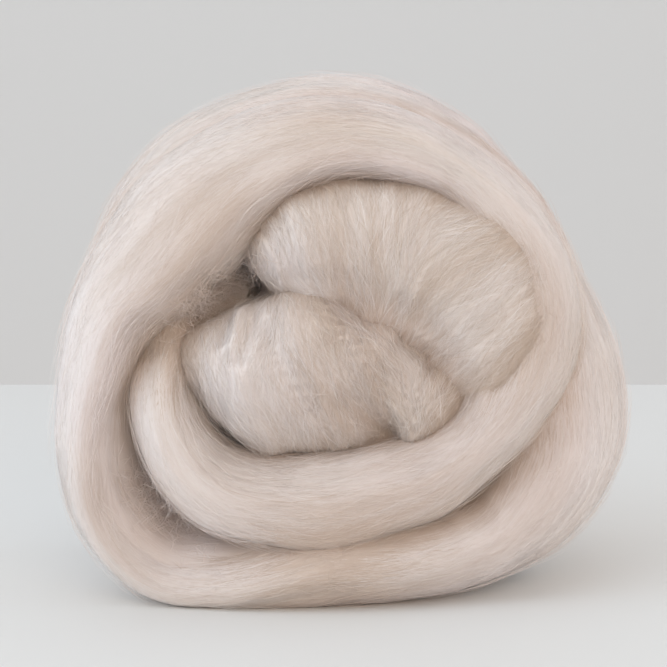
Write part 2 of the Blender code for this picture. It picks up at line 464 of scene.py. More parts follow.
def even_shares(rows, columns, spacing):
    """Shares of the table at which the sections stand evenly, this many millimetres apart."""
    fine = np.linspace(0, 1, FINE_SHARES)
    steps = np.linalg.norm(np.diff(middles(between_rows(rows, columns, fine)), axis=0), axis=1)
    along = np.concatenate([[0], np.cumsum(steps)])
    return np.interp(np.linspace(0, along[-1], round(along[-1] / spacing)), along, fine)


print("the strand is", round(len(even_shares(STRAND, STRAND_COLUMNS, 1.0)) / 10), "cm long")

# %% [markdown]
# ## The body of a rope
#
# Under the hairs that are drawn one by one lies the body of the rope. Its skin is a grid of points,
# sections by points round, and everything later is worked out on that grid: where it shows, which
# way it is combed, what colour it has. A second thing is needed for all of that, a smooth noise
# that wraps round the rope without a seam: random values on a coarse lattice, joined smoothly.

# %% Noise on a rope
LONGEST = 1400.0  # millimetres: no strand here is longer
BEFORE_START = 60.0  # millimetres of noise that lie before the start of a rope


def streaks(seed, along, turn, cell_length, cells_round):
    """Smooth noise from -1 to 1. along is in millimetres, and turn is a share of the way round."""
    lattice = np.random.default_rng(seed).uniform(-1, 1, (int(LONGEST / cell_length), cells_round))
    u, v = (along + BEFORE_START) / cell_length, turn * cells_round
    row, col = np.floor(u).astype(int), np.floor(v).astype(int)
    s, t = u - row, v - col
    s, t = s * s * (3 - 2 * s), t * t * (3 - 2 * t)
    here, after = col % cells_round, (col + 1) % cells_round
    near = lattice[row, here] * (1 - t) + lattice[row, after] * t
    far = lattice[row + 1, here] * (1 - t) + lattice[row + 1, after] * t
    return near * (1 - s) + far * s


three = streaks(1, np.array([0.0, 5.0, 50.0]), np.zeros(3), 40.0, 8)
print("noise at three places:", three.round(2))

# %% The body of a rope
END_RINGS = 7  # sections that round off each end
END_REACH = 0.4  # how far an end is rounded, as a share of its half size
TABLE_STEP = 1e-3  # share of a table over which a route's direction is measured
STRAND_GRID = (1.5, 72)  # millimetres between two sections, and points round
FOLD_GRID = (1.2, 64)


def outward(points):
    """The surface's direction outwards at each point of a grid that closes on itself."""
    along = np.gradient(points, axis=0)
    round_it = (np.roll(points, -1, axis=1) - np.roll(points, 1, axis=1)) / 2
    normal = unit(np.cross(round_it, along))
    away = points - points.mean(axis=1, keepdims=True)
    return normal if (normal * away).sum() > 0 else -normal


def rope(name, rows, columns, spacing, points_round, seed):
    """A grid of points on the skin of a rope that follows a table, with what its hairs need."""
    even = even_shares(rows, columns, spacing)
    share = np.concatenate([np.zeros(END_RINGS), even, np.ones(END_RINGS)])
    row = between_rows(rows, columns, share)
    middle = middles(row)
    ahead = middles(between_rows(rows, columns, share + TABLE_STEP))
    behind = middles(between_rows(rows, columns, share - TABLE_STEP))
    along = unit(ahead - behind)
    back = np.array([0.0, 1.0, 0.0])
    wide_way = unit(back - along * along[:, 1:2])
    lean = np.radians(row.get("lean", np.zeros(len(share))))[:, None]
    wide_way = wide_way * np.cos(lean) + np.cross(along, wide_way) * np.sin(lean)
    thick_way = np.cross(along, wide_way)

    lift = np.radians(90 * (END_RINGS - np.arange(END_RINGS) - 0.5) / END_RINGS)
    shrink = np.concatenate([np.cos(lift), np.ones(len(even)), np.cos(lift[::-1])])
    slide = np.concatenate([-np.sin(lift), np.zeros(len(even)), np.sin(lift[::-1])])
    slide = slide * END_REACH * np.minimum(row["thick"], row["wide"])

    turn = 2 * np.pi * np.arange(points_round) / points_round
    drift = np.radians(row.get("angle", np.zeros(len(share))) * GROOVE_DRIFT / 360)[:, None]
    reach = 1 - GROOVE_DEPTH * (0.5 + 0.5 * np.cos(GROOVES * (turn + drift))) ** GROOVE_SHARPNESS
    power = 2 / SQUARENESS
    thick = np.sign(np.cos(turn)) * np.abs(np.cos(turn)) ** power * reach * row["thick"][:, None]
    wide = np.sign(np.sin(turn)) * np.abs(np.sin(turn)) ** power * reach * row["wide"][:, None]
    across = thick[..., None] * thick_way[:, None] + wide[..., None] * wide_way[:, None]
    points = (middle + along * slide[:, None])[:, None] + across * shrink[:, None, None]

    run = np.concatenate([[0], np.cumsum(np.linalg.norm(np.diff(middle, axis=0), axis=1))])
    run = (run + slide)[:, None] + np.zeros(points_round)
    round_share = np.zeros((len(share), 1)) + turn / (2 * np.pi)
    girth = 2 * np.pi * np.mean(np.hypot(row["thick"], row["wide"])) / np.sqrt(2)
    return SimpleNamespace(
        name=name, points=points, run=run, turn=round_share, girth=girth, row=row, seed=seed,
        full=shrink[:, None],
    )


strand = rope("wound_strand", STRAND, STRAND_COLUMNS, *STRAND_GRID, seed=11)
folds = [
    rope(name, rows, FOLD_COLUMNS, *FOLD_GRID, seed=31 + 10 * k)
    for k, (name, rows) in enumerate(FOLDS.items())
]
for body in [strand, *folds]:
    print(body.name, "has", body.points.shape[0], "sections")

# %% [markdown]
# ## Where folds run into each other
#
# Two ropes that only cross would meet in a sharp seam. In soft wool the fibres of one lie over the
# other there, and the seam is a shallow dip. So near a neighbour the skin is raised, the more the
# closer it comes, which rounds the seam out. Some creases are deep all the same, so each pair has
# its own reach.

# %% Rounding out the seams
SEAMS = {  # two ropes, and how far from the seam the skin is raised, in millimetres
    ("lower_fold", "side_fold"): 18.0,
    ("upper_fold", "side_fold"): 11.0,
    ("upper_fold", "lower_fold"): 4.0,
    ("upper_fold", "wound_strand"): 16.0,
    ("side_fold", "wound_strand"): 9.0,
    ("lower_fold", "wound_strand"): 0.0,
}
JOINED_FROM, JOINED_OVER = 22.0, 12.0  # x in mm, to whose right the strand joins the folds
JOINED_LEAST = 0.25  # the share of it that is left everywhere
SELF_REACH = 16.0  # the same reach for two turns of the strand, in millimetres
SELF_FADE = 40.0  # degrees before and after a cut over which this starts
RAISED_SHARE = 0.25  # how high the skin is raised at a seam, as a share of the reach
#   cut    the strand's angle where it is parted into the turn before and the turn after, degrees
#   share  how far the two run together there: degrees round the axis, share
SELF_SEAMS = (
    (400, ((150, 1.0), (170, 1.0), (180, 0.5), (192, 0.0), (500, 0.0))),
    (555, (
        (200, 0.0), (250, 0.0), (310, 0.05), (350, 0.1),
        (375, 0.4), (395, 1.0), (430, 0.5), (480, 0.0),
    )),
    (900, ((200, 0.3), (500, 0.3))),
)
CREASE_REACH = 7.0  # millimetres from a neighbour within which a crease is marked, for its painted shade and its hairs


def tube_faces(sections, points_round, start):
    """The faces of a closed tube whose points start at this index, with its two poles last."""
    k = np.arange(points_round)
    after = (k + 1) % points_round
    ring = np.arange(sections - 1)[:, None] * points_round + start
    corners = (ring + k, ring + after, ring + points_round + after, ring + points_round + k)
    pole = start + sections * points_round
    last = start + (sections - 1) * points_round
    first_cap = np.stack([start + after, start + k, np.full(points_round, pole)], -1)
    last_cap = np.stack([last + k, last + after, np.full(points_round, pole + 1)], -1)
    return np.stack(corners, -1).reshape(-1, 4).tolist() + first_cap.tolist() + last_cap.tolist()


def tree_of(points):
    """A search tree of a rope's skin, its faces pointing out."""
    sections, points_round = points.shape[:2]
    count = sections * points_round
    faces = [face for face in tube_faces(sections, points_round, 0) if max(face) < count]
    corners = points.reshape(-1, 3)[faces[count // 2][:3]]
    facing = np.cross(corners[1] - corners[0], corners[2] - corners[0])
    if facing @ outward(points).reshape(-1, 3)[faces[count // 2][0]] < 0:
        faces = [face[::-1] for face in faces]
    return BVHTree.FromPolygons(points.reshape(-1, 3).tolist(), faces)


def depth_in(tree, points):
    """How many millimetres each point lies inside the closed skin of the tree."""
    depths = np.empty(points.shape[:-1])
    for spot in np.ndindex(depths.shape):
        here = Vector(points[spot])
        place, normal, _, distance = tree.find_nearest(here)
        depths[spot] = distance if (here - place).dot(normal) < 0 else -distance
    return depths


def near_seam(apart, reach):
    """From 0 at this distance from the neighbour's skin to 1 on it."""
    return np.clip(1 - np.abs(apart) / max(reach, 1e-6), 0, 1) ** 2


ropes = {body.name: body for body in [strand, *folds]}
raised = {name: np.zeros(body.run.shape) for name, body in ropes.items()}
for body in ropes.values():
    body.crease = np.zeros(body.run.shape)
    body.covered = np.full(body.run.shape, -np.inf)

for pair, reach in SEAMS.items():
    for here, there in (pair, pair[::-1]):
        points = ropes[here].points
        apart = depth_in(tree_of(ropes[there].points), points)
        joined = np.ones(apart.shape)
        if "wound_strand" in pair:
            joined = np.clip((points[..., 0] - JOINED_FROM) / JOINED_OVER, JOINED_LEAST, 1)
        rise = reach * RAISED_SHARE * near_seam(apart, reach) * joined
        raised[here] = np.maximum(raised[here], rise)
        ropes[here].crease = np.maximum(ropes[here].crease, near_seam(apart, CREASE_REACH))
        ropes[here].covered = np.maximum(ropes[here].covered, apart)

angle = strand.row["angle"]
for cut, rows in SELF_SEAMS:
    before, after = (angle > cut - 360) & (angle < cut), (angle >= cut) & (angle < cut + 360)
    degrees, shares = np.array(rows, float).T
    for here, there in ((before, after), (after, before)):
        apart = depth_in(tree_of(strand.points[there]), strand.points[here])
        share = np.interp((angle[here] - degrees[0]) % 360 + degrees[0], degrees, shares)[:, None]
        fade = np.clip((cut - angle[here])[:, None] / SELF_FADE, -1, 1) ** 2
        rise = SELF_REACH * RAISED_SHARE * near_seam(apart, SELF_REACH) * share * fade
        raised["wound_strand"][here] = np.maximum(raised["wound_strand"][here], rise)
        shade = near_seam(apart, CREASE_REACH) * fade
        strand.crease[here] = np.maximum(strand.crease[here], shade)
        inside = np.where(fade > 0.5, apart, -np.inf)  # not where the turn is only cut in two
        strand.covered[here] = np.maximum(strand.covered[here], inside)

for name, body in ropes.items():
    body.points = body.points + outward(body.points) * raised[name][..., None]
    print(name, "is raised by up to", raised[name].max().round(1), "mm")

# %% [markdown]
# ## Pinches and tufts
#
# Where wool is folded by hand it pinches and buckles: locks stand out as soft tufts, with hollows
# between them. Each is one row: a line over the front of a fold, how far it reaches to both sides
# and how high it rises. A sculpting brush would do the same by hand, but rows can be corrected.

# %% Tufts and hollows on the core
#   x, height      both ends of the line, in mm as in the tables above
#   reach, rise    how far it reaches to each side, and how far it stands out, in mm
TUFTS = (
    ((-22.2, 75.0), (-24.9, 64.0), 1.4, 1.8),
    ((-26.3, 73.0), (-28.0, 65.0), 1.4, -1.2),
    ((-20.5, 73.0), (-23.0, 61.5), 1.4, -1.2),
    ((-27.0, 60.0), (-22.0, 44.0), 5.0, 0.8),
    ((-18.6, 68.3), (-7.0, 49.0), 2.6, -1.4),
    ((-3.0, 71.0), (7.0, 62.0), 3.5, 1.6),
    ((7.0, 62.0), (17.0, 43.0), 3.5, 2.0),
    ((2.0, 51.0), (11.5, 43.5), 4.5, -2.4),
    ((12.0, 41.5), (13.5, 39.0), 1.6, -2.5),
    ((16.0, 65.0), (24.0, 59.0), 2.2, -1.2),
    ((-12.0, 96.0), (-4.0, 78.0), 3.5, 0.9),
    ((2.0, 98.0), (6.0, 74.0), 3.0, -0.9),
    ((12.0, 98.0), (16.0, 78.0), 3.5, 0.9),
    ((24.0, 92.0), (20.0, 70.0), 3.0, -0.9),
)


def tuft_rise(points):
    """How far each point of a fold stands out, from the rows of tufts."""
    spot = points[..., [0, 2]] + (BALL_MIDDLE[0], 0.0)
    rise = np.zeros(spot.shape[:-1])
    for start, end, reach, height in TUFTS:
        start, line = np.array(start), np.array(end) - np.array(start)
        along = np.clip(((spot - start) @ line) / (line @ line), 0, 1)
        apart = np.linalg.norm(spot - start - along[..., None] * line, axis=-1)
        rise = rise + height * np.exp(-((apart / reach) ** 2))
    return rise


for body in folds:
    out = outward(body.points)
    facing = np.clip(-2 * out[..., 1], 0, 1)  # only on the front
    body.points = body.points + out * (tuft_rise(body.points) * facing)[..., None]
print(len(TUFTS), "tufts and hollows")

# %% [markdown]
# ## Which way the wool is combed
#
# Along the strand the hairs simply follow it. In the core the strand lies folded, and its hairs
# cross the folds and fan out from where the wool is pinched. A short list of places with the
# direction there says that, as a hairdresser would sketch it, and every other place takes a blend
# of its nearest entries. A hair has no front or back end, so 10 and 190 degrees are the same, and
# angles are doubled before they are blended to make that true.

# %% The combing plan
#   x, height   a place, in mm as in the tables above
#   degrees     the direction of the hairs there, anticlockwise from the right
COMB = {
    "upper_fold": (
        (-18, 81, 108), (-16, 75.5, 135), (-9, 73.5, 158), (-10, 84, 105),
        (-5, 88, 101), (2, 84, 98), (10, 86, 91), (15, 83, 84),
        (18, 72, 68), (24, 80, 55), (31, 76, 38), (31, 90, 20),
        (36, 68, 40), (35, 58, 52),
    ),
    "lower_fold": (
        (-34, 50, 112), (-28, 40, 150), (-26, 69, 72), (-28, 54, 104),
        (-20, 62, 88), (-8, 58, 113), (1, 62, 121), (10, 58, 119),
        (15, 50, 108), (-10, 42, 112),
    ),
    "side_fold": (
        (-4, 69, 140), (6, 58, 130), (14, 50, 122), (15, 62, 119),
        (21, 55, 75), (27, 50, 56), (20, 44, 85),
    ),
}
BLENDED_WITHIN = 2.0  # millimetres round an entry within which its weight hardly grows
NEARNESS = 1.5  # exponent: the higher, the more the nearest entry decides


def combed_way(table, points):
    """The direction of the hairs in the front's plane at each point, in radians."""
    x, height, degrees = np.array(table, float).T
    across = points[..., None, 0] - (x - BALL_MIDDLE[0])
    apart = across**2 + (points[..., None, 2] - height) ** 2 + BLENDED_WITHIN**2
    weight = 1 / apart**NEARNESS
    doubled = np.radians(2 * degrees)
    return np.arctan2((weight * np.sin(doubled)).sum(-1), (weight * np.cos(doubled)).sum(-1)) / 2


print("entries in the plan:", sum(len(rows) for rows in COMB.values()))

# %% The combing of a rope
WANDER = 5.0  # degrees by which the hairs stray in broad waves
EDGE_ON = 0.25  # least share by which a skin is taken to face the front


def measure(body):
    """Adds to a rope its outward directions and the size of its cells."""
    body.out = outward(body.points)
    body.long = np.gradient(body.points, axis=0)
    body.wide = (np.roll(body.points, -1, axis=1) - np.roll(body.points, 1, axis=1)) / 2
    body.cell_long = np.linalg.norm(body.long, axis=-1)
    body.cell_wide = np.linalg.norm(body.wide, axis=-1)


def comb(body):
    """Adds the cosine and sine of twice the angle from the rope's own direction to its hairs."""
    way = np.radians(WANDER) * streaks(body.seed + 5, body.run, body.turn, 70.0, 6)
    if body.name in COMB:
        plane = combed_way(COMB[body.name], body.points)
        flat = np.stack([np.cos(plane), np.zeros(plane.shape), np.sin(plane)], -1)
        # The depth that keeps the direction on the skin, where the skin isn't seen edge on.
        facing = -np.maximum(np.abs(body.out[..., 1]), EDGE_ON)
        flat[..., 1] = -(flat[..., 0] * body.out[..., 0] + flat[..., 2] * body.out[..., 2]) / facing
        way = way + np.arctan2((flat * unit(body.wide)).sum(-1), (flat * unit(body.long)).sum(-1))
    body.comb_cos, body.comb_sin = np.cos(2 * way), np.sin(2 * way)


for body in ropes.values():
    measure(body)
    comb(body)
print("combed:", ", ".join(ropes))

# %% [markdown]
# ## Walking along the hairs
#
# Whatever follows the wool needs one tool: start anywhere on a rope and walk over its skin the way
# it is combed. The grid gives the direction at each point, and between the points it is blended.

# %% Walking over a rope
LEAST_CELL = 0.3  # millimetres, so that a walk slows down at the pinched ends of a rope


def sample(grid, u, v):
    """The grid's value between its points: u counts sections, v counts points round."""
    u = np.clip(u, 0, grid.shape[0] - 1.001)
    row, col = u.astype(int), np.floor(v).astype(int)
    s, t = u - row, v - col
    if grid.ndim == 3:
        s, t = s[..., None], t[..., None]
    here, after = col % grid.shape[1], (col + 1) % grid.shape[1]
    near = grid[row, here] * (1 - t) + grid[row, after] * t
    return near * (1 - s) + (grid[row + 1, here] * (1 - t) + grid[row + 1, after] * t) * s


def walk(body, u, v, length, lean, steps):
    """The places that each hair passes, as arrays of hairs by steps + 1."""

    def way_at(a, b, before):
        doubled = np.arctan2(sample(body.comb_sin, a, b), sample(body.comb_cos, a, b))
        way = doubled / 2 + lean
        return way + np.pi * (np.cos(way - before) < 0)

    stride = length / steps
    start = np.arctan2(sample(body.comb_sin, u, v), sample(body.comb_cos, u, v)) / 2 + lean
    legs = []
    for sign in (-1, 1):
        a, b, way, leg = u, v, start, []
        for _ in range(steps // 2):
            way = way_at(a, b, way)
            a = a + sign * stride * np.cos(way) / np.maximum(sample(body.cell_long, a, b), LEAST_CELL)
            b = b + sign * stride * np.sin(way) / np.maximum(sample(body.cell_wide, a, b), LEAST_CELL)
            leg.append((a, b))
        legs.append(leg)
    places = legs[0][::-1] + [(u, v)] + legs[1]
    return np.stack([a for a, _ in places], 1), np.stack([b for _, b in places], 1)


sections, _ = walk(strand, np.array([300.0]), np.array([0.0]), 80.0, 0.0, 20)
print("40 mm along the strand from section 300 lies section", sections[0, -1].round(1))

# %% [markdown]
# ## Locks
#
# Combed wool parts into locks, long bundles a few millimetres wide, and they make soft ridges that
# run with the hairs. Noise gives them when it is smeared the way the wool is combed: the value at a
# point is the mean of the noise along a walk from there. The same streaks, finer, colour the wool.

# %% Ridges along the hairs
SHRUNK = 0.8  # millimetres that the hairs laid on top make up for
LOCKS = ((12.0, 70.0, 0.9), (6.0, 50.0, 0.45))  # width, length and height of the ridges, in mm
FOLD_LOCKS = ((12.0, 60.0, 0.8), (5.5, 45.0, 0.6), (3.2, 30.0, 0.3))
SMEAR_STEPS = 16
NOISE_LIMIT = 1.2  # where the strongest streaks are cut off


def combed_noise(body, seed, width, length):
    """Noise, mostly from -1 to 1, in streaks of this size in millimetres that follow the hairs."""
    grain = streaks(seed, body.run, body.turn, width, max(6, round(body.girth / width)))
    u, v = (place.ravel().astype(float) for place in np.indices(body.run.shape))
    a, b = walk(body, u, v, length, 0.0, SMEAR_STEPS)
    value = sample(grain, a, b).mean(axis=1).reshape(body.run.shape)
    return np.clip((value - value.mean()) / value.std() / 2, -NOISE_LIMIT, NOISE_LIMIT)


for body in ropes.values():
    swell = -SHRUNK
    for k, (width, length, height) in enumerate(LOCKS if body is strand else FOLD_LOCKS):
        swell = swell + height * combed_noise(body, body.seed + k, width, length)
    body.points = body.points + body.out * (swell * body.full)[..., None]
    body.points[..., 2] = np.maximum(body.points[..., 2], 0.0)
    measure(body)
print("ridges up to", sum(height for _, _, height in LOCKS), "mm high")

# %% [markdown]
# ## Where the skin shows
#
# The turns press into each other, so much of each rope's skin is buried in the next. Hairs are
# only worth drawing where the skin can be seen. A point is out of sight where it lies inside
# another rope, and also deep inside the ball as a whole, which is what the solid model stands for.

# %% What shows
COVERED = 2.0  # millimetres inside another rope, from where nothing shows
BURIED = 7.0  # the same for the solid ball

ball_tree = BVHTree.FromPolygons(
    [vertex.co / MM for vertex in BALL.data.vertices],
    [tuple(polygon.vertices) for polygon in BALL.data.polygons],
)
for body in ropes.values():
    body.shows = (depth_in(ball_tree, body.points) < BURIED) & (body.covered < COVERED)
    print(body.name, f"shows on {body.shows.mean():.0%} of its skin")

# %% [markdown]
# ## Tone and warmth
#
# No two locks of a fleece have quite the same colour. Tone says how pale a spot is and warmth how
# rosy, both from 0 to 1. They come from the same kind of stretched noise as the ridges: broad and
# slow for the warmth, and in narrow streaks for the tone. Creases and ruffled wool get painted
# shade, a lower tone where real wool would shade itself. A list of places gives paler and darker
# locks, and with them painted shade along grooves and painted light in shaded hollows. Each hair
# then adds a little of its own.

# %% The colour of a place on a rope
#     x, height     the middle of a paler or darker lock, or of painted shade or light, in mm
#   reach, tone   how far it reaches, and how much paler it is
LOCK_TONES_AND_PAINTED_LIGHT = (
    (-17, 83, 9, 0.60), (-25, 55, 10, 0.85), (-14, 66, 8, 0.25), (2, 46, 7, -0.30),
    (13, 42, 5, -0.30), (28, 70, 12, -0.15), (-4, 8, 18, -0.50), (-60, 62, 14, 0.30),
    (47, 60, 12, -0.15), (-42, 63, 7, -0.60), (-33, 74, 7, -0.50), (-29, 89, 8, -0.35),
    (-41, 21, 6, -0.35), (-5, 117, 13, -0.25), (62, 53, 9, -0.20), (49, 22, 9, -0.20),
    (-12, 37, 6, 0.35), (3, 40, 5, 0.25), (-34, 47, 5, 0.40), (-33, 14, 6, 0.40),
    (-56, 48, 9, 0.35), (5, 60, 7, 0.30), (7, 11, 7, -0.35), (-37, 80, 6, -0.25),
    (-29, 97, 7, -0.25), (30, 99, 7, -0.20), (29, 25.5, 2.5, -0.40), (37, 29.5, 2.5, -0.50),
    (44, 34.5, 2.5, -0.50), (50, 40.5, 2.5, -0.50), (55, 49, 2.5, -0.40),
)
LOCK_TONES_AND_PAINTED_LIGHT_BACK = 0.0  # millimetres, the depth behind which these places have no effect
TONES = ((9.0, 50.0, 0.07), (3.5, 40.0, 0.12), (1.8, 25.0, 0.10))  # width, length in mm, share
SMOOTH_TONE = 0.76  # of smooth combed wool
SMOOTH_STREAKS = 0.4  # how strong its streaks are, beside those of ruffled wool
CREASE_PAINTED_SHADE = 0.8  # painted shade: by how much the tone falls in a crease
RUFFLED_PAINTED_SHADE = 0.24  # painted shade: by how much it falls where the wool is ruffled, for the shadows between its locks

#   angle on the strand, and the share of its hairs that stand a little apart there
RUFFLED = (
    (130, 0.9), (185, 0.7), (205, 0.4), (230, 0.5), (265, 0.9), (290, 0.9), (345, 0.15),
    (410, 0.1), (450, 0.45), (520, 0.4), (545, 0.2), (580, 0.4), (610, 0.7), (640, 0.9),
    (665, 0.3), (700, 0.1), (880, 0.4),
)
for body in ropes.values():
    body.ruffled = 1.0 + 0 * body.run
    if body is strand:
        body.ruffled *= np.interp(strand.row["angle"], *zip(*RUFFLED))[:, None]
    # The tone falls by painted shade in creases and where the wool is ruffled.
    body.tone = SMOOTH_TONE - RUFFLED_PAINTED_SHADE * body.ruffled - CREASE_PAINTED_SHADE * body.crease + sum(
        share * (SMOOTH_STREAKS + body.ruffled) * combed_noise(body, body.seed + 6 + k, width, length)
        for k, (width, length, share) in enumerate(TONES)
    )
    # Paler and darker locks, with painted shade along grooves and painted light in shaded hollows.
    for x, height, reach, tone in LOCK_TONES_AND_PAINTED_LIGHT:
        apart = np.hypot(body.points[..., 0] + BALL_MIDDLE[0] - x, body.points[..., 2] - height)
        front = body.points[..., 1] < LOCK_TONES_AND_PAINTED_LIGHT_BACK
        body.tone = body.tone + front * tone * np.exp(-((apart / reach) ** 2))
    body.warmth = 0.5 + 0.5 * streaks(body.seed + 9, body.run, body.turn, 50.0, 7)
print("tone from", strand.tone.min().round(2), "to", strand.tone.max().round(2))

# %% Making a piece from points
def make_piece(name, points, faces, material, tone, warmth, out=None):
    """A mesh object from points in millimetres, coloured by tone and warmth."""
    mesh = bpy.data.meshes.new(name)
    mesh.from_pydata((points * MM).tolist(), [], faces)
    mesh.shade_smooth()
    mesh.materials.append(material)
    for word, values in (("tone", tone), ("warmth", warmth)):
        layer = mesh.attributes.new(word, "FLOAT", "POINT")
        layer.data.foreach_set("value", np.clip(values, 0, 1).astype(np.float32).ravel())
    if out is not None:
        mesh.normals_split_custom_set_from_vertices(out.tolist())
    piece = bpy.data.objects.new(name, mesh)
    bpy.context.scene.collection.objects.link(piece)
    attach(piece, "root")
    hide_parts("roving_ball")
    return piece


def skin_piece(name, bodies):
    """One mesh object of the underlayer of these ropes."""
    points, faces, tone, warmth = [], [], [], []
    count = 0
    for body in bodies:
        sections, points_round = body.run.shape
        poles = body.points[[0, -1]].mean(axis=1)
        points.append(np.concatenate([body.points.reshape(-1, 3), poles]))
        faces += tube_faces(sections, points_round, count)
        count += sections * points_round + 2
        tone += [body.tone.ravel(), body.tone[[0, -1], 0]]
        warmth += [body.warmth.ravel(), body.warmth[[0, -1], 0]]
    tone, warmth = np.concatenate(tone), np.concatenate(warmth)
    piece = make_piece(name, np.concatenate(points), faces, underlayer, tone, warmth)
    mesh = bmesh.new()
    mesh.from_mesh(piece.data)
    bmesh.ops.recalc_face_normals(mesh, faces=mesh.faces)
    mesh.to_mesh(piece.data)
    mesh.free()
    return piece


for piece in (skin_piece("wound_strand", [strand]), skin_piece("core_folds", folds)):
    print(piece.name, "has", len(piece.data.polygons), "faces")

# %% [markdown]
# ## The windings inside
#
# Between the turns a few narrow gaps go deep, and what shows at the bottom of them is more wool.
# One rounded body fills the middle of the ball there, as it does in the solid model. At the back it
# shows inside the spiral too.

# %% The core
CORE_RINGS, CORE_POINTS = 60, 90
CORE_TONE, CORE_WARMTH = 0.5, 0.6
#   seed, cell length in mm, cells round, height in mm of each of its swellings
CORE_SWELLS = ((81, 30.0, 16, 0.8), (82, 20.0, 40, 0.4))


def core_body():
    """The grid of a flattened ball, its poles to the left and the right."""
    fall = np.pi * (np.arange(CORE_RINGS) + 0.5) / CORE_RINGS
    turn = 2 * np.pi * np.arange(CORE_POINTS) / CORE_POINTS
    half_x, half_y, half_z = CORE_HALF_SIZE
    x = -half_x * np.cos(fall)[:, None] + 0 * turn
    y = half_y * np.sin(fall)[:, None] * np.sin(turn)
    z = half_z * np.sin(fall)[:, None] * np.cos(turn)
    points = np.stack([x, y, z], -1) + np.array(CORE_MIDDLE) - (*BALL_MIDDLE, 0.0)
    run = x - x.min()
    share = 0 * x + turn / (2 * np.pi)
    swell = sum(rise * streaks(seed, run, share, *cells) for seed, *cells, rise in CORE_SWELLS)
    points = points + outward(points) * swell[..., None]
    return SimpleNamespace(
        name="inner_windings", points=points, run=run, turn=share,
        tone=np.full(x.shape, CORE_TONE), warmth=np.full(x.shape, CORE_WARMTH),
    )


core = core_body()
core_piece = skin_piece("inner_windings", [core])
print(core_piece.name, "has", len(core_piece.data.polygons), "faces")

# %% [markdown]
# ## Combing the fibres
#
# A fibre is a narrow ribbon that tapers to both ends and lies on the skin. It starts at a random
# visible spot and is walked over the rope both ways, always in the direction in which the wool is
# combed there, so it bends with every turn and fold. Real hairs are 0.02 mm thick, far too fine
# to show, so each ribbon stands for a small lock and is up to ten times as wide. Blender's hair
# system would comb faster, but its hairs can't be handed on as a mesh.
#
# There are two kinds. Where the wool is combed smooth, light passes between the hairs of a lock, so
# those ribbons cast no shadow. Where it is ruffled, the locks stand apart and shade each other.

# %% Starting places
def scatter(rng, body, count, wanted):
    """Random places on the body's skin, as many to each square millimetre wherever wanted is 1."""
    chance = (body.cell_long * body.cell_wide * body.shows * wanted).ravel()
    cell = rng.choice(chance.size, count, p=chance / chance.sum())
    row, col = np.divmod(cell, body.run.shape[1])
    return row + rng.uniform(-0.5, 0.5, count), col + rng.uniform(-0.5, 0.5, count)


print("first visible section:", int(strand.shows.any(axis=1).argmax()))

# %% Turning paths into ribbons
ABOVE_BOARD = 0.05  # millimetres, the lowest that a hair may lie
ARCH = 0.5  # exponent: below 1, a hair rises steeply at its ends and lies level between them
LIFT_BEND = 2.2  # exponent: the higher, the nearer to its end a loose hair bends up
TAPER = 0.7  # exponent: below 1, a ribbon keeps its width for longer
BLUNTNESS = 0.04  # how blunt its ends are, as a share of its length
WAVES = (0.5, 1.4)  # the least and the most waves along a hair
WARMTH_SPREAD = 0.15  # how far the warmth of the hairs varies


def tapered(t):
    """The width of a ribbon along its length, as a share of its widest place."""
    return np.sin(np.pi * (BLUNTNESS + (1 - 2 * BLUNTNESS) * t)) ** TAPER


def ribbon_points(path, out, width, twist):
    """The two edges of each ribbon. width is for each point, twist in radians for each fibre."""
    tangent = unit(np.gradient(path, axis=1))
    side = unit(np.cross(tangent, out))
    up = np.cross(side, tangent)
    across = side * np.cos(twist)[..., None] + up * np.sin(twist)[..., None]
    half = across * (width / 2)[..., None]
    return np.stack([path - half, path + half], axis=2)


def ribbon_faces(fibres, steps):
    """The quads of ribbons of steps + 1 pairs of points each."""
    first = np.arange(fibres)[:, None] * 2 * (steps + 1) + 2 * np.arange(steps)
    quads = np.stack([first, first + 1, first + 3, first + 2], axis=-1)
    return quads.reshape(-1, 4).tolist()


def combed(body, seed, count, wanted, style):
    """Ribbons combed over a body, as points, outward directions, tone and warmth."""
    rng = np.random.default_rng(seed)
    steps = style["steps"]
    u, v = scatter(rng, body, count, wanted)
    length = rng.uniform(*style["length"], count)
    lean = np.radians(rng.normal(0, style["lean"], count))
    a, b = walk(body, u, v, length, lean, steps)
    path, out = sample(body.points, a, b), unit(sample(body.out, a, b))

    t = np.linspace(0, 1, steps + 1)
    height = rng.uniform(*style["height"], count)[:, None] * np.sin(np.pi * t) ** ARCH
    lifted = rng.uniform(size=count) < style["lifted"]
    lift = lifted * rng.uniform(*style["lift"], count)
    height = height + lift[:, None] * t**LIFT_BEND
    side = unit(np.cross(unit(np.gradient(path, axis=1)), out))
    waves = rng.uniform(*WAVES, count)[:, None]
    wave = np.sin(2 * np.pi * (waves * t + rng.uniform(size=count)[:, None]))
    sway = rng.normal(0, style["sway"], count)[:, None] * wave
    path = path + out * height[..., None] + side * sway[..., None]
    path[..., 2] = np.maximum(path[..., 2], ABOVE_BOARD)

    width = rng.uniform(*style["width"], count)[:, None] * tapered(t)
    twist = rng.normal(0, np.radians(style["twist"]), count)[:, None] + 0 * t
    points = ribbon_points(path, out, width, twist)
    loose = "gloss" not in style  # then it is shaded as it faces, and not as the skin under it
    if not loose:
        tilt = np.radians(rng.normal(0, style["gloss"], count))[:, None, None]
        out = unit(out + side * np.tan(tilt))

    tone = sample(body.tone, u, v) + rng.normal(style["paler"], style["tone_spread"], count)
    warmth = sample(body.warmth, u, v) + rng.normal(0, WARMTH_SPREAD, count)
    shape = points.shape[:3]
    return SimpleNamespace(
        points=points.reshape(-1, 3),
        out=None if loose else np.broadcast_to(out[:, :, None], points.shape).reshape(-1, 3),
        tone=np.broadcast_to(tone[:, None, None], shape).reshape(-1),
        warmth=np.broadcast_to(warmth[:, None, None], shape).reshape(-1),
        count=count,
        steps=steps,
    )


